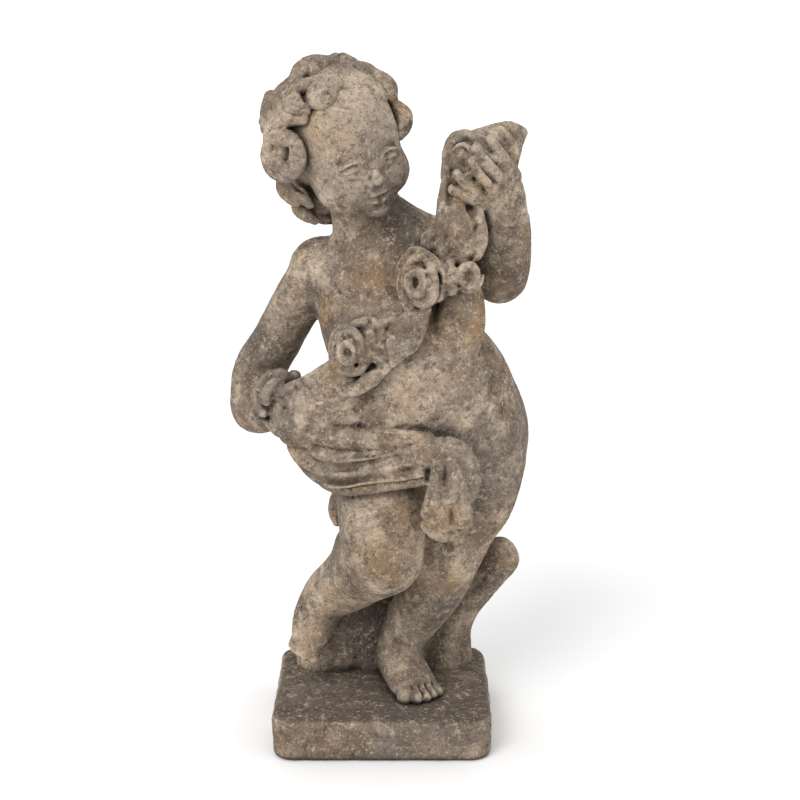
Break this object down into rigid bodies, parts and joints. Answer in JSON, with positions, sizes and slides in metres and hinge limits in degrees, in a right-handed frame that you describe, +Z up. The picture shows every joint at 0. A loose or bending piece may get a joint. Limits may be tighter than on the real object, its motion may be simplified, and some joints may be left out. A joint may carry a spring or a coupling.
{
  "type": "garden putto statue",
  "caption": "Standing cast-stone putto in contrapposto with a raised arm, holding a swag of roses across the body, with a knotted loincloth, a tree stump behind and a square plinth.",
  "frame": {"origin": "centre of the plinth's underside", "axes": "+Z up, -Y the way the chest and the plinth's front face, +X towards the raised arm"},
  "size_m": [0.3077, 0.2068, 0.7015],
  "materials": {
    "stone": "weathered grey-beige cast stone, matt, with ochre stains and dark pits"
  },
  "bodies": {
    "root": {"putto_statue": "stone"}
  },
  "joints": []
}
